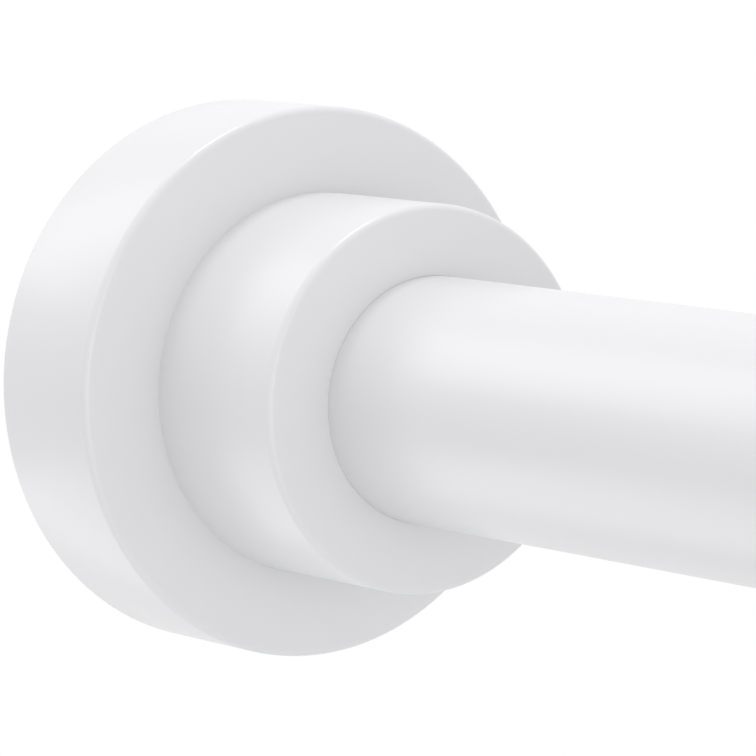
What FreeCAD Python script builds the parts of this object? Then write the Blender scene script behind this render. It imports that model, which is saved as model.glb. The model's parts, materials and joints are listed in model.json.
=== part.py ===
import FreeCAD
import Part
import math
import os

from FreeCAD import Vector

# Spring tension rod that stands between two walls, in millimetres.
# The rod lies along +X. The origin is the middle of the wall face of pad A, and +Z is up.
# End A carries the outer tube and end B the inner tube, which slides and turns in it.
# At both ends, s is the distance from that end's wall face towards the middle of the rod.

# Lengths of the whole rod
shortest_length = 406.4  # between the walls, tubes closed and spring pressed in: 16 in
spring_travel = 22.0  # how far the inner tube can be pushed in against the spring
drawn_out = 79.6  # how far the tubes are drawn apart as modelled, from fully closed

# Tubes
outer_tube_d = 25.4  # 1 in
tube_wall = 0.8
tube_gap = 0.8  # radial space between the two tubes
closing_gap = 1.4  # left between the collar and cap B when the rod is shortest
lock_end_gap = 3.4  # left between the lock and end plug A when the rod is closed

# Moulded wall caps
flange_d = 58.0
flange_depth = 16.0
hub_d = 40.0
hub_depth = 20.0
edge_round = 0.6
cap_wall = 2.6
socket_wall = 2.4
socket_fit = 0.04
socket_floor = 3.0  # thickness of the floor that the tube's end plug bears on
well_depth = 9.0  # from the flange's rear plane to the floor
rib_count = 8
rib_thickness = 1.6

# Rubber wall pads
pad_thickness = 3.0
pad_proud = 1.0  # how far the pad stands out of the flange
pad_fit = 0.3
pad_edge_bevel = 0.8
pad_groove_width = 1.2
pad_groove_depth = 0.6
pad_groove_count = 2
pad_groove_step = 8.0
pad_collar_wall = 3.0
pad_collar_depth = 3.0

# Screws and washers that hold the caps
screw_d = 4.8
screw_length = 20.0
screw_tip = 3.0
screw_head_d = 9.2
screw_head_depth = 2.8
screw_head_bevel = 1.0
cross_width = 1.0
cross_length = 4.8
cross_depth = 1.6
screw_hole_fit = 0.25
thread_fit = 0.05
washer_d = 12.0
washer_thickness = 1.0

# End plugs pressed into the tubes
plug_lip = 2.0
plug_lip_step = 0.15  # how far the lip stays inside the tube's outer face
plug_length = 20.0
plug_wall = 2.0
plug_boss_wall = 2.2
plug_rib = 1.6
plug_rib_count = 4
press_fit = 0.05

# Trim collar in the mouth of the outer tube
collar_lip = 3.0
collar_lip_step = 1.2
collar_bevel = 0.8
collar_sleeve = 20.0
running_fit = 0.1

# Guide rod
rod_flats = 7.0
rod_fit = 0.1
tail_d = 6.0
tail_spare = 2.0  # thread left showing past the nut
stop_gap = 0.3  # between the stop washer and the spring plug, fully sprung out
stop_washer_d = 14.0
stop_washer_thickness = 1.2
nut_flats = 10.0
nut_height = 5.0
nut_collar_d = 8.8
nut_collar_height = 1.5

# Compression spring and its seats
wire_d = 2.0
spring_length = 62.0  # as modelled
spring_turns = 8.0
closed_turns = 1.0
closed_gap = 0.15  # between the end turns
wire_sides = 6
arcs_per_turn = 2
spring_side_gap = 1.9
pilot_fit = 0.4
pilot_length = 3.0
seat_washer_thickness = 0.8
seat_flange = 3.0

# Spring plug pressed into the inner end of the inner tube
spring_plug_length = 18.0
guide_gap = 0.3  # between the plug's flange and the outer tube
relief_count = 4
relief_width = 3.0
relief_depth = 1.2

# Twist lock
lock_gap = 0.5  # between the cam ring and the outer tube, unlocked
eccentricity = 0.6
shank_wall = 1.9
journal_share = 0.275  # how much of the way from the shank out to the cam ring's edge it fills
journal_length = 14.0
cam_end_gap = 0.3
thrust_washer_d = 18.0
thrust_washer_thickness = 0.8
thrust_end_gap = 0.3
bush_length = 12.6
bush_gap = 0.1
bush_sleeve_wall = 2.0
bush_skirt_wall = 1.4
bush_web = 2.4
bush_slots = 6
bush_slot_width = 1.8
clip_thickness = 1.0
clip_fit = 0.1
clip_groove_depth = 0.7
clip_ring = 2.6
clip_mouth = 8.0
shank_nose = 2.6
pin_d = 2.5
pin_wall = 0.5
pin_slit = 0.6
pin_inset = 0.4

# Radii worked out from the tubes
outer_tube_r = outer_tube_d / 2
bore_r = outer_tube_r - tube_wall
inner_tube_r = bore_r - tube_gap
inner_bore_r = inner_tube_r - tube_wall
spring_r = bore_r - spring_side_gap - wire_d / 2
pilot_r = spring_r - wire_d / 2 - pilot_fit
rod_corner_r = rod_flats / math.sqrt(3)
shank_r = rod_corner_r + shank_wall
cam_r = bore_r - lock_gap
journal_r = shank_r + (cam_r - shank_r) * journal_share

# Places along s at either end
cap_depth = pad_proud + flange_depth + hub_depth
floor_s = pad_proud + well_depth
socket_s = floor_s + socket_floor
tube_s = socket_s + plug_lip
plug_end_s = tube_s + plug_length

# Places along X, counted back from end B's side of the lock
lock_stack = (
    seat_flange
    + seat_washer_thickness
    + spring_length
    + seat_washer_thickness
    + seat_flange
    + journal_length
    + thrust_washer_thickness
    + thrust_end_gap
    + bush_length
    + cam_end_gap
    + clip_thickness
    + shank_nose
)
outer_tube_length = shortest_length - tube_s - collar_lip - cap_depth - closing_gap
closed_length = shortest_length + spring_travel
inner_tube_length = closed_length - tube_s - lock_stack - plug_end_s - lock_end_gap
rod_length = closed_length + drawn_out
mouth_x = tube_s + outer_tube_length
inner_end_x = rod_length - tube_s - inner_tube_length
plug_seat_x = inner_end_x - seat_flange
spring_b_x = plug_seat_x - seat_washer_thickness
spring_a_x = spring_b_x - spring_length
hub_seat_x = spring_a_x - seat_washer_thickness
journal_b_x = hub_seat_x - seat_flange
journal_a_x = journal_b_x - journal_length
bush_b_x = journal_a_x - thrust_washer_thickness - thrust_end_gap
bush_a_x = bush_b_x - bush_length
clip_b_x = bush_a_x - cam_end_gap
clip_a_x = clip_b_x - clip_thickness
nose_x = clip_a_x - shank_nose
plug_rear_x = inner_end_x + spring_plug_length
stop_x = plug_rear_x + stop_gap

along = Vector(1, 0, 0)
centre = Vector(0, 0, 0)


def disc(x_from, x_to, radius, off_y=0.0, off_z=0.0):
    # round bar along X
    return Part.makeCylinder(radius, x_to - x_from, Vector(x_from, off_y, off_z), along)


def ring(x_from, x_to, outer_r, inner_r):
    # tube along X
    return disc(x_from, x_to, outer_r).cut(disc(x_from, x_to, inner_r))


def hexagon(x_from, x_to, flats):
    # six-sided bar along X with two flats level
    corner = flats / math.sqrt(3)
    corners = []
    for i in range(7):
        angle = math.radians(60 * i)
        corners.append(Vector(x_from, corner * math.cos(angle), corner * math.sin(angle)))
    return Part.Face(Part.makePolygon(corners)).extrude(Vector(x_to - x_from, 0, 0))


def slab(x_from, x_to, half_width, reach_from, reach_to):
    # flat bar that stands radially from the axis, along +Z
    corner = Vector(x_from, -half_width, reach_from)
    return Part.makeBox(x_to - x_from, 2 * half_width, reach_to - reach_from, corner)


def around(shape, count):
    # the shape and its copies, evenly spaced around the rod's axis
    copies = []
    for i in range(count):
        copies.append(shape.rotated(centre, along, 360.0 * i / count))
    return copies


def joined(shapes):
    # one solid from shapes that overlap or share faces
    return shapes[0].multiFuse(shapes[1:]).removeSplitter()


def circle_edges(solid, x, radius):
    # the edges that lie on the circle of that radius at x
    edges = []
    for edge in solid.Edges:
        curve = edge.Curve
        if not hasattr(curve, "Radius"):
            continue
        if abs(curve.Radius - radius) < 0.001 and abs(edge.CenterOfMass.x - x) < 0.001:
            edges.append(edge)
    return edges


def rounded(solid, x, radius, round_r):
    return solid.makeFillet(round_r, circle_edges(solid, x, radius))


def bevelled(solid, x, radius, bevel):
    return solid.makeChamfer(bevel, circle_edges(solid, x, radius))


def at_end_b(shape):
    # turns a piece of end A round to end B
    return shape.rotated(Vector(rod_length / 2, 0, 0), Vector(0, 0, 1), 180)


# Pieces of the wall ends


def wall_cap(tube_r):
    # stepped cap moulded in one piece, cored out and ribbed from the wall side
    rear_s = pad_proud
    flange_s = rear_s + flange_depth
    flange_r = flange_d / 2
    hub_r = hub_d / 2
    body = joined([disc(rear_s, flange_s, flange_r), disc(rear_s, cap_depth, hub_r)])
    body = rounded(body, flange_s, flange_r, edge_round)
    body = rounded(body, cap_depth, hub_r, edge_round)

    socket_r = tube_r + socket_fit
    core_r = socket_r + socket_wall
    rim_r = flange_r - cap_wall
    hub_core_r = max(hub_r - cap_wall, core_r)
    pocket = disc(rear_s, flange_s - cap_wall, rim_r)
    pocket = pocket.fuse(disc(rear_s, cap_depth - cap_wall, hub_core_r))
    pocket = pocket.cut(disc(rear_s, cap_depth, core_r))
    web = slab(pad_thickness, cap_depth, rib_thickness / 2, 0, flange_r)
    for rib in around(web, rib_count):
        pocket = pocket.cut(rib)
    body = body.cut(pocket)
    body = body.cut(disc(rear_s, pad_thickness, rim_r))
    body = body.cut(disc(rear_s, floor_s, socket_r))
    body = body.cut(disc(socket_s, cap_depth, socket_r))
    return body.cut(disc(floor_s, socket_s, screw_d / 2 + screw_hole_fit))


def wall_pad(tube_r):
    # rubber pad with round grooves in its wall face and a collar that plugs into the cap's well
    pad_r = flange_d / 2 - cap_wall - pad_fit
    collar_r = tube_r + socket_fit - pad_fit
    pad = disc(0, pad_thickness, pad_r)
    pad = bevelled(pad, 0, pad_r, pad_edge_bevel)
    collar_end = pad_thickness + pad_collar_depth
    pad = pad.fuse(ring(pad_thickness, collar_end, collar_r, collar_r - pad_collar_wall))
    for i in range(pad_groove_count):
        groove_r = pad_r - pad_groove_step * (i + 0.5)
        groove = ring(0, pad_groove_depth, groove_r, groove_r - pad_groove_width)
        pad = pad.cut(groove)
    return pad.removeSplitter()


def cap_washer():
    hole_r = screw_d / 2 + screw_hole_fit
    return ring(floor_s - washer_thickness, floor_s, washer_d / 2, hole_r)


def cap_screw():
    # pan-head screw with a cross slot, driven from the wall side into the end plug
    head_s = floor_s - washer_thickness
    top_s = head_s - screw_head_depth
    head = disc(top_s, head_s, screw_head_d / 2)
    head = bevelled(head, top_s, screw_head_d / 2, screw_head_bevel)
    tip_s = head_s + screw_length
    shank = disc(head_s, tip_s - screw_tip, screw_d / 2)
    tip = Part.makeCone(screw_d / 2, screw_d / 8, screw_tip, Vector(tip_s - screw_tip, 0, 0), along)
    screw = joined([head, shank, tip])
    slot = slab(top_s, top_s + cross_depth, cross_width / 2, -cross_length / 2, cross_length / 2)
    screw = screw.cut(slot)
    return screw.cut(slot.rotated(centre, along, 90))


def end_plug(tube_r):
    # lip under the cap's floor, skirt in the tube, and a ribbed boss for the screw
    skirt_r = tube_r - tube_wall - press_fit
    hole_r = screw_d / 2 + thread_fit
    boss_r = hole_r + plug_boss_wall
    lip = disc(socket_s, tube_s, tube_r - plug_lip_step)
    skirt = ring(socket_s, plug_end_s, skirt_r, skirt_r - plug_wall)
    boss = disc(socket_s, plug_end_s, boss_r)
    rib = slab(socket_s, plug_end_s, plug_rib / 2, 0, skirt_r - plug_wall / 2)
    plug = joined([lip, skirt, boss] + around(rib, plug_rib_count))
    return plug.cut(disc(socket_s, plug_end_s, hole_r))


# Tubes and collar


def outer_tube():
    return ring(tube_s, mouth_x, outer_tube_r, bore_r)


def inner_tube():
    return ring(inner_end_x, rod_length - tube_s, inner_tube_r, inner_bore_r)


def tube_collar():
    # thin sleeve between the tubes, with a lip that covers the outer tube's cut end
    lip_r = outer_tube_r + collar_lip_step
    guide_r = inner_tube_r + running_fit
    lip = disc(mouth_x, mouth_x + collar_lip, lip_r)
    lip = bevelled(lip, mouth_x + collar_lip, lip_r, collar_bevel)
    sleeve = disc(mouth_x - collar_sleeve, mouth_x, bore_r - press_fit / 2)
    collar = joined([sleeve, lip])
    return collar.cut(disc(mouth_x - collar_sleeve, mouth_x + collar_lip, guide_r))


# Spring and its seats


def arc_through(start, corner, end):
    # arc from start to end whose tangents meet at the corner
    chord_mid = (start + end) * 0.5
    half_chord = (end - start).Length / 2
    leg = (corner - start).Length
    height = (corner - chord_mid).Length
    sag = half_chord * height / (leg + half_chord)
    middle = chord_mid + (corner - chord_mid).normalize() * sag
    return Part.Arc(start, middle, end).toShape()


def arc_pair(start, start_dir, end, end_dir):
    # two arcs in space that run on into each other and keep both end directions
    chord = end - start
    both = start_dir + end_dir
    a = both.dot(both) - 4.0
    b = -2.0 * chord.dot(both)
    c = chord.dot(chord)
    leg = (-b - math.sqrt(b * b - 4.0 * a * c)) / (2.0 * a)
    corner_a = start + start_dir * leg
    corner_b = end - end_dir * leg
    join = (corner_a + corner_b) * 0.5
    return [arc_through(start, corner_a, join), arc_through(join, corner_b, end)]


def coil_rise(turn):
    # distance along the spring after that many turns: closed end turns, open ones between
    start = wire_d / 4
    closed_pitch = wire_d + closed_gap
    closed_rise = closed_pitch * closed_turns
    full_rise = spring_length - wire_d / 2
    open_pitch = (full_rise - 2 * closed_rise) / (spring_turns - 2 * closed_turns)
    if turn <= closed_turns:
        return start + closed_pitch * turn
    if turn >= spring_turns - closed_turns:
        return start + full_rise - closed_pitch * (spring_turns - turn)
    return start + closed_rise + open_pitch * (turn - closed_turns)


def compression_spring():
    # round wire drawn with a few flats, wound right-handed with closed and ground ends
    step = 1.0 / arcs_per_turn
    count = int(round(spring_turns * arcs_per_turn))
    places = []
    for i in range(count + 1):
        angle = 2 * math.pi * i * step
        x = spring_a_x + coil_rise(i * step)
        places.append(Vector(x, spring_r * math.cos(angle), spring_r * math.sin(angle)))
    headings = []
    for i in range(count + 1):
        angle = 2 * math.pi * i * step
        low = max(i - 1, 0)
        high = min(i + 1, count)
        pitch = (places[high].x - places[low].x) / ((high - low) * step)
        round_speed = 2 * math.pi * spring_r
        heading = Vector(pitch, -round_speed * math.sin(angle), round_speed * math.cos(angle))
        headings.append(heading.normalize())
    edges = []
    for i in range(count):
        edges.extend(arc_pair(places[i], headings[i], places[i + 1], headings[i + 1]))

    across = headings[0].cross(Vector(0, 1, 0)).normalize()
    outward = Vector(0, 1, 0)
    section = []
    for i in range(wire_sides + 1):
        angle = 2 * math.pi * (i + 0.5) / wire_sides
        reach = outward * math.cos(angle) + across * math.sin(angle)
        section.append(places[0] + reach * (wire_d / 2))
    wire = Part.Wire(edges).makePipe(Part.Face(Part.makePolygon(section)))
    return wire.common(disc(spring_a_x, spring_b_x, bore_r))


def spring_washer(x_from):
    outer_r = spring_r + wire_d / 2 + pilot_fit
    return ring(x_from, x_from + seat_washer_thickness, outer_r, pilot_r + pilot_fit / 2)


def spring_plug():
    # presses into the inner tube, guides it in the outer one and lets the guide rod through
    body = disc(inner_end_x, plug_rear_x, inner_bore_r - press_fit)
    flange = disc(plug_seat_x, inner_end_x, bore_r - guide_gap)
    pilot = disc(plug_seat_x - pilot_length, plug_seat_x, pilot_r)
    plug = joined([body, flange, pilot])
    reach = inner_bore_r - press_fit
    relief = slab(inner_end_x, plug_rear_x, relief_width / 2, reach - relief_depth, bore_r)
    for cut in around(relief, relief_count):
        plug = plug.cut(cut)
    way = hexagon(plug_seat_x - pilot_length, plug_rear_x, rod_flats + 2 * rod_fit)
    return plug.cut(way)


# Guide rod and its stop


def pin_hole():
    hole_r = pin_d / 2 + press_fit
    pin_x = (journal_a_x + journal_b_x) / 2
    return Part.makeCylinder(hole_r, outer_tube_d, Vector(pin_x, -outer_tube_r, 0), Vector(0, 1, 0))


def guide_rod():
    # hexagonal bar, pinned in the lock hub, with a threaded tail inside the inner tube
    tail_end = stop_x + stop_washer_thickness + nut_height + nut_collar_height + tail_spare
    bar = hexagon(bush_a_x, stop_x, rod_flats)
    tail = disc(stop_x, tail_end, tail_d / 2)
    return joined([bar, tail]).cut(pin_hole())


def stop_washer():
    return ring(stop_x, stop_x + stop_washer_thickness, stop_washer_d / 2, tail_d / 2 + thread_fit)


def stop_nut():
    # lock nut with a round insert collar on its far side
    seat_x = stop_x + stop_washer_thickness
    collar_x = seat_x + nut_height
    end_x = collar_x + nut_collar_height
    nut = joined([hexagon(seat_x, collar_x, nut_flats), disc(collar_x, end_x, nut_collar_d / 2)])
    return nut.cut(disc(seat_x, end_x, tail_d / 2 + thread_fit))


# Twist lock


def lock_hub():
    # spring seat, off-centre journal and round shank in one piece, on the guide rod
    seat = disc(journal_b_x, hub_seat_x, bore_r - guide_gap)
    pilot = disc(hub_seat_x, hub_seat_x + pilot_length, pilot_r)
    journal = disc(journal_a_x, journal_b_x, journal_r, 0, eccentricity)
    shank = disc(nose_x, journal_a_x, shank_r)
    hub = joined([seat, pilot, journal, shank])
    hub = hub.cut(hexagon(bush_a_x, hub_seat_x + pilot_length, rod_flats + 2 * rod_fit))
    hub = hub.cut(ring(clip_a_x, clip_b_x, shank_r, shank_r - clip_groove_depth))
    return hub.cut(pin_hole())


def hub_pin():
    # rolled spring pin, held in place by the cam ring around it
    length = 2 * (journal_r - pin_inset)
    pin_x = (journal_a_x + journal_b_x) / 2
    start = Vector(pin_x, -length / 2, 0)
    pin = Part.makeCylinder(pin_d / 2, length, start, Vector(0, 1, 0))
    bore = Part.makeCylinder(pin_d / 2 - pin_wall, length, start, Vector(0, 1, 0))
    slit = Part.makeBox(pin_slit, length, pin_d, start - Vector(pin_slit / 2, 0, 0))
    return pin.cut(bore).cut(slit)


def cam_ring():
    # its bore is as far off centre as the journal, so at rest it is central in the tube
    x_from = journal_a_x + cam_end_gap
    x_to = journal_b_x - cam_end_gap
    bore = disc(x_from, x_to, journal_r + running_fit, 0, eccentricity)
    return disc(x_from, x_to, cam_r).cut(bore)


def thrust_washer():
    x_to = journal_a_x
    return ring(x_to - thrust_washer_thickness, x_to, thrust_washer_d / 2, shank_r + press_fit)


def drag_bush():
    # rubs in the outer tube with six springy fingers and lets the shank turn inside it
    skirt_r = bore_r - bush_gap
    sleeve_r = shank_r + running_fit
    skirt = ring(bush_a_x, bush_b_x, skirt_r, skirt_r - bush_skirt_wall)
    slot = slab(bush_a_x + bush_web, bush_b_x, bush_slot_width / 2, sleeve_r + bush_sleeve_wall, bore_r)
    for cut in around(slot, bush_slots):
        skirt = skirt.cut(cut)
    web = ring(bush_a_x, bush_a_x + bush_web, skirt_r - bush_skirt_wall / 2, sleeve_r)
    sleeve = ring(bush_a_x, bush_b_x, sleeve_r + bush_sleeve_wall, sleeve_r)
    return joined([skirt, web, sleeve])


def retaining_clip():
    # open ring that snaps into the groove at the front of the shank
    inner_r = shank_r - clip_groove_depth + clip_fit
    clip = ring(clip_a_x + clip_fit, clip_b_x - clip_fit, inner_r + clip_ring, inner_r)
    mouth = slab(clip_a_x, clip_b_x, clip_mouth / 2, 0, bore_r)
    return clip.cut(mouth)


# Everything by its name

pieces = {
    "outer_tube": outer_tube(),
    "inner_tube": inner_tube(),
    "tube_collar": tube_collar(),
    "spring_plug": spring_plug(),
    "compression_spring": compression_spring(),
    "spring_washer_a": spring_washer(hub_seat_x),
    "spring_washer_b": spring_washer(spring_b_x),
    "guide_rod": guide_rod(),
    "stop_washer": stop_washer(),
    "stop_nut": stop_nut(),
    "lock_hub": lock_hub(),
    "hub_pin": hub_pin(),
    "cam_ring": cam_ring(),
    "thrust_washer": thrust_washer(),
    "drag_bush": drag_bush(),
    "retaining_clip": retaining_clip(),
    "wall_cap_a": wall_cap(outer_tube_r),
    "wall_pad_a": wall_pad(outer_tube_r),
    "end_plug_a": end_plug(outer_tube_r),
    "cap_screw_a": cap_screw(),
    "cap_washer_a": cap_washer(),
    "wall_cap_b": at_end_b(wall_cap(inner_tube_r)),
    "wall_pad_b": at_end_b(wall_pad(inner_tube_r)),
    "end_plug_b": at_end_b(end_plug(inner_tube_r)),
    "cap_screw_b": at_end_b(cap_screw()),
    "cap_washer_b": at_end_b(cap_washer()),
}

os.makedirs("parts", exist_ok=True)
for name, shape in pieces.items():
    shape.exportStep("parts/" + name + ".step")

lock_turn = 2 * math.degrees(math.asin((lock_gap - press_fit) / (2 * eccentricity)))
print("rod length", round(rod_length, 2), "closed", round(closed_length, 2))
print("outer tube", round(outer_tube_length, 2), "inner tube", round(inner_tube_length, 2))
print("journal", round(journal_a_x, 2), round(journal_b_x, 2), "mouth", round(mouth_x, 2))
print("spring", round(spring_a_x, 2), round(spring_b_x, 2), "lock nose", round(nose_x, 2))
print("twist to lock", round(lock_turn, 2), "degrees")
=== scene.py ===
import json
import math

import bmesh
import bpy
from mathutils import Matrix, Vector


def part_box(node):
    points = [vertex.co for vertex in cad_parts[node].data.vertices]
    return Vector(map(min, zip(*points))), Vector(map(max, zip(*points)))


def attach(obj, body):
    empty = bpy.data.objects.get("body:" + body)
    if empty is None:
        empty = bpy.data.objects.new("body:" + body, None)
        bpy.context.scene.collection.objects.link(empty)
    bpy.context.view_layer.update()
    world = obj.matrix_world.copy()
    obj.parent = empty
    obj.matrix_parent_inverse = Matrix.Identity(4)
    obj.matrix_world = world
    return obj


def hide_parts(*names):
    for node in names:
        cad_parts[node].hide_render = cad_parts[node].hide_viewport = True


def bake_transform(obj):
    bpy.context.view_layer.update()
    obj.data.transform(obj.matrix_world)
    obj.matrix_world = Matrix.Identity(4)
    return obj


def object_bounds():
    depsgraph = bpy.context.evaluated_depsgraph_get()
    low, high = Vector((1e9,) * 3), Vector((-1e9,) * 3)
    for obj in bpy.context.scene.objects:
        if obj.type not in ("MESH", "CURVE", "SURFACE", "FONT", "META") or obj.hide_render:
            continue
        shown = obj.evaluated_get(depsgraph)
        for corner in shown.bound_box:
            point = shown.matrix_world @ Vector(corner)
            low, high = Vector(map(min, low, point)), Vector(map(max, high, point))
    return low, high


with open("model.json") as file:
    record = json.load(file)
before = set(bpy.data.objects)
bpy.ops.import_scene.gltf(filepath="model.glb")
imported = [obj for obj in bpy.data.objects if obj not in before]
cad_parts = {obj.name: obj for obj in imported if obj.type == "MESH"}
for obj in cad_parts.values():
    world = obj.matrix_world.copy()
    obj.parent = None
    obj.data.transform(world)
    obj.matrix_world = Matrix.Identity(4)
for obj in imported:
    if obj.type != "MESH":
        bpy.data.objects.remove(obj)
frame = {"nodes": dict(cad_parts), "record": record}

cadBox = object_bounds()
cadNodes = frame["nodes"]
print("frame loaded,", len(cadNodes), "nodes")


# mesh helpers; lengths are in metres and angles in degrees

sameWithin = 1e-6  # two places nearer than this count as one
latheFinish = {"roundSegments": 5, "mergeWithin": 1e-7}


def newPiece(name, bm, body, *stoodFor):
    mesh = bpy.data.meshes.new(name)
    bm.to_mesh(mesh)
    bm.free()
    piece = bpy.data.objects.new(name, mesh)
    bpy.context.collection.objects.link(piece)
    if body:
        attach(piece, body)
    if stoodFor:
        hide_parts(*stoodFor)
    return piece


def meshOf(piece):
    # the finished mesh of a piece with its modifiers or bevel, which takes the piece's place
    bpy.context.view_layer.update()
    graph = bpy.context.evaluated_depsgraph_get()
    mesh = bpy.data.meshes.new_from_object(piece.evaluated_get(graph))
    bpy.data.objects.remove(piece)
    bm = bmesh.new()
    bm.from_mesh(mesh)
    bpy.data.meshes.remove(mesh)
    return bm


def smoothByAngle(piece, degrees):
    # edges sharper than this stay sharp
    for polygon in piece.data.polygons:
        polygon.use_smooth = True
    piece.data.set_sharp_from_angle(angle=math.radians(degrees))


def faceOutward(bm):
    bm.normal_update()  # moved vertices leave the old normals behind
    bmesh.ops.recalc_face_normals(bm, faces=list(bm.faces))


def lathe(outline, rounds, steps, closed=True):
    # spins an outline of (x, radius) points about the rod's axis; rounds gives for each size
    # the places in the outline of the corners rounded by it, and an outline that isn't
    # closed starts and ends on the axis
    bm = bmesh.new()
    within = latheFinish["mergeWithin"]
    corners = [bm.verts.new((x, 0.0, radius)) for x, radius in outline]
    bm.faces.new(corners)
    for size, indices in rounds.items():
        bmesh.ops.bevel(
            bm, geom=[corners[i] for i in indices], offset=size, offset_type="OFFSET",
            affect="VERTICES", segments=latheFinish["roundSegments"], profile=0.5, material=-1,
        )
    bmesh.ops.delete(bm, geom=list(bm.faces), context="FACES_ONLY")
    if not closed:  # the stretch that lies on the axis goes
        onAxis = [e for e in bm.edges if all(abs(v.co.z) < within for v in e.verts)]
        bmesh.ops.delete(bm, geom=onAxis, context="EDGES")
    bmesh.ops.spin(
        bm, geom=list(bm.verts) + list(bm.edges), cent=(0, 0, 0), axis=(1, 0, 0),
        angle=2 * math.pi, steps=steps, use_merge=True, use_duplicate=False,
    )
    bmesh.ops.remove_doubles(bm, verts=list(bm.verts), dist=within)
    faceOutward(bm)
    return bm


def turnToEndB(bm, rodLength):
    # end B's pieces are made as end A's and turned round the middle of the rod
    middle = (rodLength / 2, 0, 0)
    halfTurn = Matrix.Rotation(math.pi, 3, "Z")
    bmesh.ops.rotate(bm, verts=list(bm.verts), cent=middle, matrix=halfTurn)
    faceOutward(bm)


# wall caps: one moulding each, cored and ribbed from the wall side

capShape = {
    "steps": 160,
    "wall": 0.0026,
    "socketWall": 0.0024,
    "edgeRound": 0.0007,
    "rimRound": 0.0004,
    "floorBack": 0.010,
    "floorFront": 0.013,
    "screwHole": 0.00265,
    "padSeat": 0.003,
    "ribs": 8,
    "ribSteps": 2,  # a rib's width, in steps of the turn
    "flangeDepth": 0.016,
    "hubRadius": 0.020,
    "fit": 0.00001,
    "smoothBelow": 30,
}


def wallCap(name, body, node, tubeRadius, rodLength, atEndB):
    low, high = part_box(node)
    rear = rodLength - high.x if atEndB else low.x
    front = rodLength - low.x if atEndB else high.x
    rimOut = high.z
    rimIn = rimOut - capShape["wall"]
    flange = rear + capShape["flangeDepth"]
    hub = capShape["hubRadius"]
    bore = tubeRadius + capShape["fit"]
    core = bore + capShape["socketWall"]
    hubIn = hub - capShape["wall"]
    seat = capShape["padSeat"]
    outline = [
        (rear, rimOut), (flange, rimOut), (flange, hub), (front, hub), (front, bore),
        (capShape["floorFront"], bore), (capShape["floorFront"], capShape["screwHole"]),
        (capShape["floorBack"], capShape["screwHole"]), (capShape["floorBack"], bore),
        (seat, bore), (seat, core), (seat, hubIn), (seat, rimIn), (rear, rimIn),
    ]
    last = len(outline) - 1
    rounds = {capShape["edgeRound"]: [1, 3], capShape["rimRound"]: [0, last]}
    bm = lathe(outline, rounds, capShape["steps"])
    corePockets(bm, seat, core, hubIn, rimIn, flange, front)
    faceOutward(bm)
    if atEndB:
        turnToEndB(bm, rodLength)
    cap = newPiece(name, bm, body, node)
    smoothByAngle(cap, capShape["smoothBelow"])
    return cap


def corePockets(bm, seat, core, hubIn, rimIn, flange, front):
    # sinks the seat ring between the ribs, then sinks its inner part on into the hub
    def ringFaces(x, inner, outer):
        found = []
        for face in bm.faces:
            middle = face.calc_center_median()
            radius = math.hypot(middle.y, middle.z)
            if abs(middle.x - x) < sameWithin and inner < radius < outer:
                found.append(face)
        return found

    def clearOfRibs(face):
        middle = face.calc_center_median()
        turn = math.atan2(middle.y, middle.z) / (2 * math.pi) % 1.0
        step = int(turn * capShape["steps"])
        spacing = capShape["steps"] // capShape["ribs"]
        place = (step + capShape["ribSteps"] // 2) % spacing
        return place >= capShape["ribSteps"]

    def sink(faces, depth):
        edges = list({edge for face in faces for edge in face.edges})
        grown = bmesh.ops.extrude_face_region(bm, geom=faces + edges)["geom"]
        verts = [g for g in grown if isinstance(g, bmesh.types.BMVert)]
        bmesh.ops.translate(bm, verts=verts, vec=(depth, 0, 0))

    shallow = flange - capShape["wall"]
    deep = front - capShape["wall"]
    sink([f for f in ringFaces(seat, core, rimIn) if clearOfRibs(f)], shallow - seat)
    sink(ringFaces(shallow, core, hubIn), deep - shallow)


# rubber wall pads

padShape = {
    "steps": 144,
    "thickness": 0.003,
    "edgeRound": 0.0008,
    "grooves": 2,
    "grooveStep": 0.008,
    "grooveWidth": 0.0012,
    "grooveDepth": 0.0006,
    "grooveRound": 0.0002,
    "collarWall": 0.003,
    "fit": 0.0002,  # the collar's radius is this much smaller than that of the tube beside it
    "smoothBelow": 40,
}


def wallPad(name, body, node, tubeRadius, rodLength, atEndB):
    low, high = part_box(node)
    padRadius = high.z
    deepest = high.x - low.x
    thickness = padShape["thickness"]
    outline = [(0.0, 0.0)]
    grooveCorners = []
    for i in reversed(range(padShape["grooves"])):
        outer = padRadius - padShape["grooveStep"] * (i + 0.5)
        inner = outer - padShape["grooveWidth"]
        depth = padShape["grooveDepth"]
        grooveCorners += [len(outline) + k for k in range(4)]
        outline += [(0.0, inner), (depth, inner), (depth, outer), (0.0, outer)]
    edge = len(outline)
    collarRadius = tubeRadius - padShape["fit"]
    collarIn = collarRadius - padShape["collarWall"]
    outline += [
        (0.0, padRadius), (thickness, padRadius), (thickness, collarRadius),
        (deepest, collarRadius), (deepest, collarIn), (thickness, collarIn), (thickness, 0.0),
    ]
    rounds = {padShape["edgeRound"]: [edge], padShape["grooveRound"]: grooveCorners}
    bm = lathe(outline, rounds, padShape["steps"], closed=False)
    if atEndB:
        turnToEndB(bm, rodLength)
    pad = newPiece(name, bm, body, node)
    smoothByAngle(pad, padShape["smoothBelow"])
    return pad


# tubes and the collar between them

tubeShape = {"steps": 160, "wall": 0.0008, "endRound": 0.00012, "smoothBelow": 30}


def tube(name, body, node):
    low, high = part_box(node)
    inner = high.z - tubeShape["wall"]
    outline = [(low.x, high.z), (high.x, high.z), (high.x, inner), (low.x, inner)]
    bm = lathe(outline, {tubeShape["endRound"]: [0, 1, 2, 3]}, tubeShape["steps"])
    piece = newPiece(name, bm, body, node)
    smoothByAngle(piece, tubeShape["smoothBelow"])
    return piece


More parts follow.
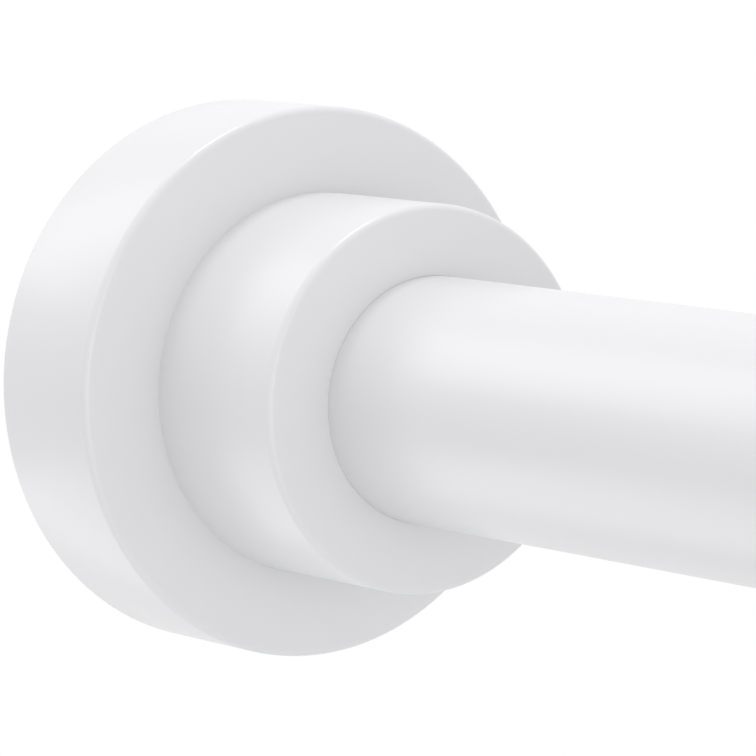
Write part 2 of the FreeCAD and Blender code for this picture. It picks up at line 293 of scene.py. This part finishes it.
collarShape = {
    "steps": 160,
    "lip": 0.003,
    "lipRound": 0.0009,
    "backRound": 0.0003,
    "fit": 0.0001,
    "smoothBelow": 30,
}


def tubeCollar(sleeveRadius, guideRadius):
    low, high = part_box("tube_collar")
    lipBack = high.x - collarShape["lip"]
    guide = guideRadius + collarShape["fit"]
    outline = [
        (low.x, sleeveRadius), (lipBack, sleeveRadius), (lipBack, high.z),
        (high.x, high.z), (high.x, guide), (low.x, guide),
    ]
    rounds = {collarShape["lipRound"]: [3], collarShape["backRound"]: [2]}
    bm = lathe(outline, rounds, collarShape["steps"])
    piece = newPiece("tubeCollar", bm, "fixed_tube", "tube_collar")
    smoothByAngle(piece, collarShape["smoothBelow"])
    return piece


# bars, threads, and shapes joined to others or cut out of them


def combined(bm, other, operation):
    rough = newPiece("roughShape", bm, None)
    tool = newPiece("tool", other, None)
    change = rough.modifiers.new("combine", "BOOLEAN")
    change.operation = operation
    change.object = tool
    result = meshOf(rough)
    bpy.data.objects.remove(tool)
    bmesh.ops.remove_doubles(result, verts=list(result.verts), dist=sameWithin)
    return result


def cutAway(bm, cutter):
    return combined(bm, cutter, "DIFFERENCE")


def bar(bm, sides, radius, length, middle, turnedAbout):
    # a bar that stands along Z is turned about the named axis and its middle set on the rod's axis
    quarterTurn = Matrix.Rotation(math.pi / 2, 4, turnedAbout)
    bmesh.ops.create_cone(
        bm, cap_ends=True, segments=sides, radius1=radius, radius2=radius, depth=length,
        matrix=Matrix.Translation((middle, 0, 0)) @ quarterTurn,
    )


def barAlongX(bm, sides, radius, start, end):
    bar(bm, sides, radius, end - start, (start + end) / 2, "Y")


def addThread(bm, thread, start, end):
    # a ridge wound along the core and sunk into it, lower where it starts and ends
    core = thread["core"]
    sunk = core * thread["sunkTo"]
    halfFoot = thread["foot"] / 2
    turns = (end - start) / thread["pitch"]
    steps = int(turns * thread["stepsPerTurn"])
    section = [(start - halfFoot, sunk), (start, thread["crest"]), (start + halfFoot, sunk)]
    ring = [bm.verts.new((x, 0.0, radius)) for x, radius in section]
    firstEdges = [bm.edges.new((ring[i - 1], ring[i])) for i in range(len(ring))]
    oldFaces = set(bm.faces)
    wound = bmesh.ops.spin(
        bm, geom=ring + firstEdges, cent=(0, 0, 0), axis=(1, 0, 0),
        dvec=((end - start) / steps, 0, 0), angle=2 * math.pi * turns, steps=steps,
        use_duplicate=False,
    )["geom_last"]
    lastEdges = [g for g in wound if isinstance(g, bmesh.types.BMEdge)]
    bmesh.ops.holes_fill(bm, edges=firstEdges, sides=0)
    bmesh.ops.holes_fill(bm, edges=lastEdges, sides=0)
    ridge = {v for f in bm.faces if f not in oldFaces for v in f.verts}
    for vert in ridge:
        radius = math.hypot(vert.co.y, vert.co.z)
        if radius > core:
            turnsIn = min(vert.co.x - start, end - vert.co.x) / thread["pitch"]
            height = max(0.0, min(1.0, turnsIn / thread["fade"]))
            scaleRadius(vert, (sunk + (radius - sunk) * height) / radius)
    return ridge


def scaleRadius(vert, by):
    vert.co.y *= by
    vert.co.z *= by


# cap screws: pan head with a tapered cross, and a cut thread that narrows with the point

screwShape = {
    "steps": 72,
    "headDepth": 0.0028,
    "headRound": 0.0013,
    "neck": 0.0008,
    "point": 0.003,
    "pointRadius": 0.0003,
    "crossLength": 0.0048,
    "crossWidth": 0.001,
    "crossDepth": 0.0018,
    "crossTaper": 0.6,
    "crossRise": 0.00018,
    "smoothBelow": 35,
}

screwThread = {
    "core": 0.00175,
    "crest": 0.0024,
    "sunkTo": 0.94,
    "pitch": 0.0018,
    "foot": 0.0009,
    "fade": 0.75,  # in turns, from nothing to the full crest
    "stepsPerTurn": 40,
}


def crossCutter(top):
    # a plus of five squares, drawn down to a narrower floor and laid on the screw's head
    reach = screwShape["crossLength"] / 2
    halfway = reach / 2  # the grid's inner lines lie nearer the middle than this
    arm = screwShape["crossWidth"] / 2
    bm = bmesh.new()
    bmesh.ops.create_grid(bm, x_segments=3, y_segments=3, size=reach)
    for vert in bm.verts:
        if abs(vert.co.x) < halfway:
            vert.co.x = math.copysign(arm, vert.co.x)
        if abs(vert.co.y) < halfway:
            vert.co.y = math.copysign(arm, vert.co.y)
    corners = [f for f in bm.faces if min(map(abs, f.calc_center_median().xy)) > arm]
    bmesh.ops.delete(bm, geom=corners, context="FACES")
    quarterTurn = Matrix.Rotation(math.pi / 2, 3, "Y")
    bmesh.ops.rotate(bm, verts=list(bm.verts), cent=(0, 0, 0), matrix=quarterTurn)
    bmesh.ops.translate(bm, verts=list(bm.verts), vec=(top, 0, 0))
    grown = bmesh.ops.extrude_face_region(bm, geom=list(bm.faces))["geom"]
    floor = [g for g in grown if isinstance(g, bmesh.types.BMVert)]
    taper = screwShape["crossTaper"]
    bmesh.ops.scale(bm, verts=floor, vec=(1, taper, taper))
    bmesh.ops.translate(bm, verts=floor, vec=(screwShape["crossDepth"], 0, 0))
    lip = [v for v in bm.verts if v not in floor]  # stands out of the head, for a clean cut
    bmesh.ops.translate(bm, verts=lip, vec=(-screwShape["crossRise"], 0, 0))
    faceOutward(bm)
    return bm


def capScrew(name, body, node, rodLength, atEndB):
    low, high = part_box(node)
    top = rodLength - high.x if atEndB else low.x
    tip = rodLength - low.x if atEndB else high.x
    head = top + screwShape["headDepth"]
    pointStart = tip - screwShape["point"]
    core = screwThread["core"]
    outline = [
        (top, 0.0), (top, high.z), (head, high.z), (head, core),
        (pointStart, core), (tip, screwShape["pointRadius"]), (tip, 0.0),
    ]
    bm = lathe(outline, {screwShape["headRound"]: [1]}, screwShape["steps"], closed=False)
    bm = cutAway(bm, crossCutter(top))
    threadEnd = tip - screwThread["pitch"] / 2
    ridge = addThread(bm, screwThread, head + screwShape["neck"], threadEnd)
    for vert in ridge:
        along = (vert.co.x - pointStart) / screwShape["point"]
        if along > 0.0:
            scaleRadius(vert, 1.0 + (screwShape["pointRadius"] / core - 1.0) * along)
    faceOutward(bm)
    if atEndB:
        turnToEndB(bm, rodLength)
    screw = newPiece(name, bm, body, node)
    smoothByAngle(screw, screwShape["smoothBelow"])
    return screw


# guide rod: drawn hexagonal bar, drilled for the hub's pin, with a threaded tail for the stop nut

rodShape = {
    "sides": 6,
    "endChamfer": 0.0004,
    "pinFit": 0.00002,
    "drillSteps": 40,
    "drillReach": 1.5,  # to each side, in radii of the bar
    "tailSteps": 64,
    "tailRoot": 0.001,
    "smoothBelow": 30,
}

tailThread = {
    "core": 0.00245,
    "crest": 0.00299,
    "sunkTo": 0.94,
    "pitch": 0.001,
    "foot": 0.00092,
    "fade": 0.5,
    "stepsPerTurn": 48,
}


def guideRod():
    low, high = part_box("guide_rod")
    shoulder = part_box("stop_washer")[0].x
    pinLow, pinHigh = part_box("hub_pin")
    bm = bmesh.new()
    barAlongX(bm, rodShape["sides"], high.y, low.x, shoulder)
    ends = [e for e in bm.edges if abs(e.verts[0].co.x - e.verts[1].co.x) < sameWithin]
    bmesh.ops.bevel(
        bm, geom=ends, offset=rodShape["endChamfer"], affect="EDGES", segments=1,
        profile=0.5, material=-1,
    )
    drill = bmesh.new()
    drillRadius = (pinHigh.x - pinLow.x) / 2 + rodShape["pinFit"]
    drillLength = 2 * rodShape["drillReach"] * high.y
    pinMiddle = (pinLow.x + pinHigh.x) / 2
    bar(drill, rodShape["drillSteps"], drillRadius, drillLength, pinMiddle, "X")
    bm = cutAway(bm, drill)
    tailStart = shoulder - rodShape["tailRoot"]
    barAlongX(bm, rodShape["tailSteps"], tailThread["core"], tailStart, high.x)
    halfPitch = tailThread["pitch"] / 2
    addThread(bm, tailThread, shoulder + halfPitch, high.x - halfPitch)
    faceOutward(bm)
    rod = newPiece("guideRod", bm, "lock_core", "guide_rod")
    smoothByAngle(rod, rodShape["smoothBelow"])
    return rod


# stop nut: lock nut with chamfered corners and a rolled collar round its insert

nutShape = {
    "steps": 96,
    "sides": 6,
    "hexHeight": 0.005,
    "faceRadius": 0.00475,
    "chamferDepth": 0.0007,
    "collarRadius": 0.0044,
    "collarRound": 0.0009,
    "collarSunk": 0.0005,
    "bore": 0.00305,
    "boreSteps": 64,
    "smoothBelow": 25,
}


def stopNut():
    low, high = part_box("stop_nut")
    hexEnd = low.x + nutShape["hexHeight"]
    face = nutShape["faceRadius"]
    rise = high.y - face
    outside = face + rise * 2
    bm = bmesh.new()
    barAlongX(bm, nutShape["sides"], high.y, low.x, hexEnd)
    # what lies outside a cone at each face comes off the corners, as when a nut is turned
    for x, inward in ((low.x, 1), (hexEnd, -1)):
        deep = nutShape["chamferDepth"] * inward
        outline = [(x - deep, face - rise), (x + deep * 2, outside), (x - deep, outside)]
        bm = cutAway(bm, lathe(outline, {}, nutShape["steps"]))
    collarFrom = hexEnd - nutShape["collarSunk"]
    collarRadius = nutShape["collarRadius"]
    outline = [
        (collarFrom, 0.0), (collarFrom, collarRadius), (high.x, collarRadius), (high.x, 0.0),
    ]
    collar = lathe(outline, {nutShape["collarRound"]: [2]}, nutShape["steps"], closed=False)
    bm = combined(bm, collar, "UNION")
    drill = bmesh.new()
    barAlongX(drill, nutShape["boreSteps"], nutShape["bore"], low.x - rise, high.x + rise)
    bm = cutAway(bm, drill)
    faceOutward(bm)
    nut = newPiece("stopNut", bm, "lock_core", "stop_nut")
    smoothByAngle(nut, nutShape["smoothBelow"])
    return nut


# compression spring: round wire, closed and ground ends

springShape = {
    "wire": 0.002,
    "wireResolution": 3,
    "turns": 8,
    "closedTurns": 1.0,
    "closedGap": 0.00015,
    "groundShare": 0.25,
    "stepsPerTurn": 64,
    "smoothBelow": 50,
}


def compressionSpring():
    low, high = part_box("compression_spring")
    wire = springShape["wire"]
    middle = high.z - wire / 2
    ground = wire * springShape["groundShare"]  # from the first turn's middle to the flat end
    turns = springShape["turns"]
    closed = springShape["closedTurns"]
    closedPitch = wire + springShape["closedGap"]
    rise = high.x - low.x - 2 * ground
    openPitch = (rise - 2 * closedPitch * closed) / (turns - 2 * closed)
    count = turns * springShape["stepsPerTurn"]
    curve = bpy.data.curves.new("springWire", "CURVE")
    curve.dimensions = "3D"
    curve.bevel_depth = wire / 2
    curve.bevel_resolution = springShape["wireResolution"]
    curve.use_fill_caps = True
    line = curve.splines.new("POLY")
    line.points.add(count)
    for i, point in enumerate(line.points):
        turn = i / springShape["stepsPerTurn"]
        if turn <= closed:
            along = closedPitch * turn
        elif turn >= turns - closed:
            along = rise - closedPitch * (turns - turn)
        else:
            along = closedPitch * closed + openPitch * (turn - closed)
        angle = 2 * math.pi * turn
        x = low.x + ground + along
        point.co = (x, middle * math.cos(angle), middle * math.sin(angle), 1.0)
    holder = bpy.data.objects.new("springWire", curve)
    bpy.context.collection.objects.link(holder)
    bm = meshOf(holder)
    bmesh.ops.remove_doubles(bm, verts=list(bm.verts), dist=sameWithin)
    for x, side in ((low.x, -1), (high.x, 1)):  # ground flat at both ends
        cut = bmesh.ops.bisect_plane(
            bm, geom=list(bm.verts) + list(bm.edges) + list(bm.faces),
            plane_co=(x, 0, 0), plane_no=(side, 0, 0), clear_outer=True,
        )
        rim = [g for g in cut["geom_cut"] if isinstance(g, bmesh.types.BMEdge)]
        bmesh.ops.holes_fill(bm, edges=rim, sides=0)
    faceOutward(bm)
    spring = newPiece("compressionSpring", bm, None, "compression_spring")
    smoothByAngle(spring, springShape["smoothBelow"])
    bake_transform(spring)
    return spring


# inner pieces: the solids' own shapes, with the edges rounded that a mould leaves round

softEdges = {
    "endPlugA": {
        "body": "fixed_tube", "node": "end_plug_a", "slot": "plug_plastic", "width": 0.00025,
    },
    "endPlugB": {
        "body": "sliding_tube", "node": "end_plug_b", "slot": "plug_plastic", "width": 0.00025,
    },
    "springPlug": {
        "body": "sliding_tube", "node": "spring_plug", "slot": "plug_plastic", "width": 0.00025,
    },
    "lockHub": {
        "body": "lock_core", "node": "lock_hub", "slot": "hub_plastic", "width": 0.00025,
        "rimsPast": 0.0055,
    },
    "camRing": {
        "body": "cam", "node": "cam_ring", "slot": "cam_plastic", "width": 0.0003,
    },
    "dragBush": {
        "body": "lock_carriage", "node": "drag_bush", "slot": "bush_plastic", "width": 0.0002,
    },
}
softEdgeFinish = {"segments": 2, "sharperThan": 40, "flatWithin": 0.5}


def onRim(edge, rimsPast):
    # where rimsPast is given, only rims square to the rod and further out than that are rounded
    if rimsPast is None:
        return True
    a, b = (vert.co for vert in edge.verts)
    nearest = min(math.hypot(a.y, a.z), math.hypot(b.y, b.z))
    return abs(a.x - b.x) < sameWithin and nearest > rimsPast


def softEdged(name, look):
    bm = bmesh.new()
    bm.from_mesh(cadNodes[look["node"]].data)
    bmesh.ops.remove_doubles(bm, verts=list(bm.verts), dist=sameWithin)
    bmesh.ops.dissolve_limit(
        bm, angle_limit=math.radians(softEdgeFinish["flatWithin"]), verts=list(bm.verts),
        edges=list(bm.edges), delimit=set(),
    )
    faceOutward(bm)
    sharp = math.radians(softEdgeFinish["sharperThan"])
    weight = bm.edges.layers.float.new("bevel_weight_edge")
    for edge in bm.edges:
        if edge.calc_face_angle(0.0) > sharp and onRim(edge, look.get("rimsPast")):
            edge[weight] = 1.0
    piece = newPiece(name, bm, look["body"], look["node"])
    smoothByAngle(piece, softEdgeFinish["sharperThan"])
    bevel = piece.modifiers.new("softEdges", "BEVEL")
    bevel.width = look["width"]
    bevel.segments = softEdgeFinish["segments"]
    bevel.limit_method = "WEIGHT"
    bevel.harden_normals = True
    return piece


# shader node groups shared by the materials

perMetre = 1000.0  # the groups' own inputs are per millimetre
noiseDetail = {"fine": 3.0, "slow": 2.0, "lines": 4.0}


def nodeGroup(name, inputs, outputs):
    group = bpy.data.node_groups.new(name, "ShaderNodeTree")
    for label, value in inputs.items():
        socket = group.interface.new_socket(label, in_out="INPUT", socket_type="NodeSocketFloat")
        socket.default_value = value
    for label in outputs:
        group.interface.new_socket(label, in_out="OUTPUT", socket_type="NodeSocketFloat")
    entry = group.nodes.new("NodeGroupInput")
    leave = group.nodes.new("NodeGroupOutput")
    return group, entry, leave


def link(tree, source, target):
    tree.links.new(source, target)


def maths(tree, operation, a, b, clamp=False):
    node = tree.nodes.new("ShaderNodeMath")
    node.operation = operation
    node.use_clamp = clamp
    for socket, value in zip(node.inputs, (a, b)):
        if isinstance(value, (int, float)):
            socket.default_value = value
        else:
            link(tree, value, socket)
    return node.outputs[0]


def buildSurfaceGrain():
    # fine moulded or sprayed texture: a height for the bump and a slow tone for colour and gloss
    group, entry, leave = nodeGroup(
        "surfaceGrain", {"Fine per mm": 2.0, "Slow per mm": 0.06, "Roll": 0.5}, ("Height", "Tone")
    )
    place = group.nodes.new("ShaderNodeTexCoord").outputs["Object"]
    fine = group.nodes.new("ShaderNodeTexNoise")
    slow = group.nodes.new("ShaderNodeTexNoise")
    for noise, label, kind in ((fine, "Fine per mm", "fine"), (slow, "Slow per mm", "slow")):
        scale = maths(group, "MULTIPLY", entry.outputs[label], perMetre)
        link(group, place, noise.inputs["Vector"])
        link(group, scale, noise.inputs["Scale"])
        noise.inputs["Detail"].default_value = noiseDetail[kind]
        link(group, entry.outputs["Roll"], noise.inputs["Roughness"])
    link(group, fine.outputs[0], leave.inputs["Height"])
    link(group, slow.outputs[0], leave.inputs["Tone"])
    return group


def buildDrawnLines():
    # fine lines along the rod, as on drawn bar and wire
    group, entry, leave = nodeGroup(
        "drawnLines", {"Lines per mm": 6.0, "Stretch": 0.02}, ("Height", "Tone")
    )
    place = group.nodes.new("ShaderNodeTexCoord").outputs["Object"]
    parts = group.nodes.new("ShaderNodeSeparateXYZ")
    link(group, place, parts.inputs[0])
    whole = group.nodes.new("ShaderNodeCombineXYZ")
    stretched = maths(group, "MULTIPLY", parts.outputs[0], entry.outputs["Stretch"])
    link(group, stretched, whole.inputs[0])
    link(group, parts.outputs[1], whole.inputs[1])
    link(group, parts.outputs[2], whole.inputs[2])
    noise = group.nodes.new("ShaderNodeTexNoise")
    scale = maths(group, "MULTIPLY", entry.outputs["Lines per mm"], perMetre)
    link(group, whole.outputs[0], noise.inputs["Vector"])
    link(group, scale, noise.inputs["Scale"])
    noise.inputs["Detail"].default_value = noiseDetail["lines"]
    link(group, noise.outputs[0], leave.inputs["Height"])
    link(group, noise.outputs[0], leave.inputs["Tone"])
    return group


surfaceGrain = buildSurfaceGrain()
drawnLines = buildDrawnLines()


# materials

finishes = {
    "cap_plastic": {
        "colour": (0.72, 0.72, 0.735), "roughness": 0.31, "group": surfaceGrain,
        "values": {"Fine per mm": 3.0, "Slow per mm": 0.05, "Roll": 0.55},
        "bump": 0.05, "height": 0.00002, "toneShift": 0.012, "glossShift": 0.06,
    },
    "tube_paint": {
        "colour": (0.72, 0.72, 0.735), "roughness": 0.31, "group": surfaceGrain,
        "values": {"Fine per mm": 0.9, "Slow per mm": 0.03, "Roll": 0.4},
        "bump": 0.08, "height": 0.00003, "toneShift": 0.01, "glossShift": 0.05,
    },
    "collar_plastic": {
        "colour": (0.72, 0.72, 0.732), "roughness": 0.33, "group": surfaceGrain,
        "values": {"Fine per mm": 3.0, "Slow per mm": 0.08, "Roll": 0.55},
        "bump": 0.05, "height": 0.00002, "toneShift": 0.012, "glossShift": 0.06,
    },
    "pad_rubber": {
        "colour": (0.42, 0.42, 0.41), "roughness": 0.68, "group": surfaceGrain,
        "values": {"Fine per mm": 4.0, "Slow per mm": 0.1, "Roll": 0.7},
        "bump": 0.35, "height": 0.00005, "toneShift": 0.05, "glossShift": 0.12,
    },
    "plug_plastic": {
        "colour": (0.62, 0.62, 0.6), "roughness": 0.5, "group": surfaceGrain,
        "values": {"Fine per mm": 2.0, "Slow per mm": 0.08, "Roll": 0.6},
        "bump": 0.15, "height": 0.00003, "toneShift": 0.03, "glossShift": 0.08,
    },
    "hub_plastic": {
        "colour": (0.02, 0.02, 0.022), "roughness": 0.45, "group": surfaceGrain,
        "values": {"Fine per mm": 2.5, "Slow per mm": 0.1, "Roll": 0.7},
        "bump": 0.25, "height": 0.00004, "toneShift": 0.2, "glossShift": 0.12,
    },
    "cam_plastic": {
        "colour": (0.48, 0.03, 0.02), "roughness": 0.4, "group": surfaceGrain,
        "values": {"Fine per mm": 2.5, "Slow per mm": 0.1, "Roll": 0.6},
        "bump": 0.15, "height": 0.00003, "toneShift": 0.08, "glossShift": 0.1,
    },
    "bush_plastic": {
        "colour": (0.68, 0.64, 0.53), "roughness": 0.42, "group": surfaceGrain,
        "values": {"Fine per mm": 2.5, "Slow per mm": 0.1, "Roll": 0.6},
        "bump": 0.12, "height": 0.00003, "toneShift": 0.05, "glossShift": 0.1,
    },
    "zinc_steel": {
        "colour": (0.62, 0.63, 0.65), "roughness": 0.36, "metallic": 1.0, "group": surfaceGrain,
        "values": {"Fine per mm": 5.0, "Slow per mm": 0.3, "Roll": 0.7},
        "bump": 0.15, "height": 0.00002, "toneShift": 0.12, "glossShift": 0.15,
    },
    "spring_steel": {
        "colour": (0.2, 0.2, 0.21), "roughness": 0.38, "metallic": 1.0, "group": drawnLines,
        "values": {"Lines per mm": 3.0, "Stretch": 0.2},
        "bump": 0.2, "height": 0.00002, "toneShift": 0.2, "glossShift": 0.15,
    },
    "rod_steel": {
        "colour": (0.45, 0.46, 0.47), "roughness": 0.36, "metallic": 1.0, "group": drawnLines,
        "values": {"Lines per mm": 5.0, "Stretch": 0.02},
        "bump": 0.2, "height": 0.00002, "toneShift": 0.12, "glossShift": 0.15,
    },
}


def buildFinish(name, look):
    material = bpy.data.materials.new(name)
    material.use_nodes = True
    tree = material.node_tree
    shader = tree.nodes["Principled BSDF"]
    texture = tree.nodes.new("ShaderNodeGroup")
    texture.node_tree = look["group"]
    for label, value in look["values"].items():
        texture.inputs[label].default_value = value
    tone = texture.outputs["Tone"]

    ramp = tree.nodes.new("ShaderNodeMix")
    ramp.data_type = "RGBA"
    darker = 1.0 - look["toneShift"]
    lighter = 1.0 + look["toneShift"]
    ramp.inputs["A"].default_value = (*[c * darker for c in look["colour"]], 1.0)
    ramp.inputs["B"].default_value = (*[min(c * lighter, 1.0) for c in look["colour"]], 1.0)
    link(tree, tone, ramp.inputs["Factor"])
    link(tree, ramp.outputs["Result"], shader.inputs["Base Color"])

    # the tone runs about 0.5, so the gloss swings both ways from its own value
    swing = maths(tree, "MULTIPLY", maths(tree, "SUBTRACT", tone, 0.5), look["glossShift"])
    gloss = maths(tree, "ADD", swing, look["roughness"], clamp=True)
    link(tree, gloss, shader.inputs["Roughness"])
    shader.inputs["Metallic"].default_value = look.get("metallic", 0.0)

    bump = tree.nodes.new("ShaderNodeBump")
    bump.inputs["Strength"].default_value = look["bump"]
    bump.inputs["Distance"].default_value = look["height"]
    link(tree, texture.outputs["Height"], bump.inputs["Height"])
    link(tree, bump.outputs[0], shader.inputs["Normal"])
    return material


def dress(piece, material):
    piece.data.materials.clear()
    piece.data.materials.append(material)


# the pieces, placed by the frame

rodLength = cadBox[1].x
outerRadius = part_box("outer_tube")[1].z
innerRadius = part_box("inner_tube")[1].z
boreRadius = outerRadius - tubeShape["wall"]

madePieces = {
    "cap_plastic": [
        wallCap("wallCapA", "fixed_tube", "wall_cap_a", outerRadius, rodLength, False),
        wallCap("wallCapB", "sliding_tube", "wall_cap_b", innerRadius, rodLength, True),
    ],
    "pad_rubber": [
        wallPad("wallPadA", "fixed_tube", "wall_pad_a", outerRadius, rodLength, False),
        wallPad("wallPadB", "sliding_tube", "wall_pad_b", innerRadius, rodLength, True),
    ],
    "tube_paint": [
        tube("outerTube", "fixed_tube", "outer_tube"),
        tube("innerTube", "sliding_tube", "inner_tube"),
    ],
    "collar_plastic": [tubeCollar(boreRadius, innerRadius)],
    "zinc_steel": [
        capScrew("capScrewA", "fixed_tube", "cap_screw_a", rodLength, False),
        capScrew("capScrewB", "sliding_tube", "cap_screw_b", rodLength, True),
        stopNut(),
    ],
    "rod_steel": [guideRod()],
    "spring_steel": [compressionSpring()],
}
for pieceName, look in softEdges.items():
    madePieces.setdefault(look["slot"], []).append(softEdged(pieceName, look))
print("modelled", sum(len(group) for group in madePieces.values()), "pieces")

materials = {name: buildFinish(name, look) for name, look in finishes.items()}
for slotName, group in madePieces.items():
    for piece in group:
        dress(piece, materials[slotName])
slotOfNode = {row["node"]: row["material_slot"] for row in frame["record"]["subparts"]}
for node, piece in cadNodes.items():
    dress(piece, materials[slotOfNode[node]])
print("dressed with", len(materials), "finishes")


# camera, floor and light

cameraPlace = {
    "location": (0.46027, -0.30825, 0.05909),
    "target": (0.02778, 0.0, 0.001436),
    "lens": 246.5,
    "sensor": 36.0,
    "nearest": 0.01,
    "furthest": 50.0,
}


def addCamera():
    data = bpy.data.cameras.new("camera")
    data.lens = cameraPlace["lens"]
    data.sensor_width = cameraPlace["sensor"]
    data.clip_start = cameraPlace["nearest"]
    data.clip_end = cameraPlace["furthest"]
    camera = bpy.data.objects.new("camera", data)
    bpy.context.collection.objects.link(camera)
    camera.location = cameraPlace["location"]
    sight = Vector(cameraPlace["target"]) - Vector(cameraPlace["location"])
    camera.rotation_euler = sight.to_track_quat("-Z", "Y").to_euler()
    bpy.context.scene.camera = camera


floorShape = {
    "below": 0.3,
    "radius": 3.0,
    "steps": 96,
    "colour": (0.78, 0.78, 0.78),
    "roughness": 0.9,
    "fadeFrom": 0.4,
    "fadeTo": 0.65,
}


def backdropRays(tree):
    # 1 for the rays that meet plain white: the camera's own, mirrored ones and ones through glass
    path = tree.nodes.new("ShaderNodeLightPath").outputs
    either = maths(tree, "MAXIMUM", path["Is Camera Ray"], path["Is Glossy Ray"])
    return maths(tree, "MAXIMUM", either, path["Is Transmission Ray"])


def addFloor():
    bm = bmesh.new()
    radius, steps = floorShape["radius"], floorShape["steps"]
    bmesh.ops.create_circle(bm, cap_ends=True, radius=radius, segments=steps)
    middle = (cadBox[0] + cadBox[1]) / 2
    centre = (middle.x, middle.y, -floorShape["below"])
    bmesh.ops.translate(bm, verts=list(bm.verts), vec=centre)
    mesh = bpy.data.meshes.new("floor")
    bm.to_mesh(mesh)
    bm.free()
    floor = bpy.data.objects.new("floor", mesh)
    bpy.context.collection.objects.link(floor)

    # pale near the rod, where its shadow falls, and plain white to the camera further out
    material = bpy.data.materials.new("paleFloor")
    material.use_nodes = True
    tree = material.node_tree
    shader = tree.nodes["Principled BSDF"]
    shader.inputs["Base Color"].default_value = (*floorShape["colour"], 1.0)
    shader.inputs["Roughness"].default_value = floorShape["roughness"]
    glow = tree.nodes.new("ShaderNodeEmission")
    glow.inputs["Strength"].default_value = 1.0
    place = tree.nodes.new("ShaderNodeTexCoord").outputs["Object"]
    away = tree.nodes.new("ShaderNodeVectorMath")
    away.operation = "DISTANCE"
    away.inputs[1].default_value = centre
    link(tree, place, away.inputs[0])
    fade = tree.nodes.new("ShaderNodeMapRange")
    fade.interpolation_type = "SMOOTHSTEP"
    fade.inputs["From Min"].default_value = floorShape["fadeFrom"]
    fade.inputs["From Max"].default_value = floorShape["fadeTo"]
    link(tree, away.outputs["Value"], fade.inputs["Value"])
    whiteness = maths(tree, "MULTIPLY", backdropRays(tree), fade.outputs["Result"])
    mixed = tree.nodes.new("ShaderNodeMixShader")
    link(tree, whiteness, mixed.inputs["Fac"])
    link(tree, shader.outputs[0], mixed.inputs[1])
    link(tree, glow.outputs[0], mixed.inputs[2])

    # from below the floor isn't seen, so the rod can be looked at from there too
    facing = tree.nodes.new("ShaderNodeNewGeometry")
    clear = tree.nodes.new("ShaderNodeBsdfTransparent")
    underside = tree.nodes.new("ShaderNodeMixShader")
    link(tree, facing.outputs["Backfacing"], underside.inputs["Fac"])
    link(tree, mixed.outputs[0], underside.inputs[1])
    link(tree, clear.outputs[0], underside.inputs[2])
    link(tree, underside.outputs[0], tree.nodes["Material Output"].inputs["Surface"])
    dress(floor, material)


roomLight = {"strength": 0.885}

lightAim = (0.06, 0.0, 0.0)  # on the rod's axis, in front of the cap
softLights = {
    "top": {"turn": 90, "lean": -8, "away": 1.2, "size": (0.4, 0.4), "power": 4.45},
    "back": {"turn": 56, "lean": -54, "away": 1.2, "size": (0.5, 0.65), "power": 1.44},
    "front": {"turn": 0, "lean": 42, "away": 1.2, "size": (0.35, 0.35), "power": 0.32},
    "axis": {"turn": 5, "lean": 80, "away": 1.2, "size": (0.6, 0.6), "power": 2.15},
    "low": {"turn": -60, "lean": -50, "away": 0.3, "size": (0.16, 0.16), "power": 0.07},
}


def addWorld():
    world = bpy.data.worlds.new("room")
    bpy.context.scene.world = world
    world.use_nodes = True
    tree = world.node_tree
    light = tree.nodes["Background"]
    light.inputs["Strength"].default_value = roomLight["strength"]
    white = tree.nodes.new("ShaderNodeBackground")
    for background in (light, white):
        background.inputs["Color"].default_value = (1.0, 1.0, 1.0, 1.0)
    mixed = tree.nodes.new("ShaderNodeMixShader")
    link(tree, backdropRays(tree), mixed.inputs["Fac"])
    link(tree, light.outputs[0], mixed.inputs[1])
    link(tree, white.outputs[0], mixed.inputs[2])
    link(tree, mixed.outputs[0], tree.nodes["World Output"].inputs["Surface"])


def addLight(name, look):
    # turn is the angle round the rod, 0 towards -Y and 90 up; lean tips it towards +X
    turn = math.radians(look["turn"])
    lean = math.radians(look["lean"])
    across = math.cos(lean)
    outward = Vector((math.sin(lean), -math.cos(turn) * across, math.sin(turn) * across))
    data = bpy.data.lights.new(name, "AREA")
    data.shape = "RECTANGLE"
    data.size, data.size_y = look["size"]
    data.energy = look["power"]
    lamp = bpy.data.objects.new(name, data)
    lamp.visible_camera = False
    bpy.context.collection.objects.link(lamp)
    lamp.location = Vector(lightAim) + outward * look["away"]
    lamp.rotation_euler = (-outward).to_track_quat("-Z", "Y").to_euler()


addCamera()
addFloor()
addWorld()
for lightName, look in softLights.items():
    addLight(lightName, look)
bpy.context.scene.view_settings.view_transform = "Standard"
print("stage set with", len(softLights), "soft lights")
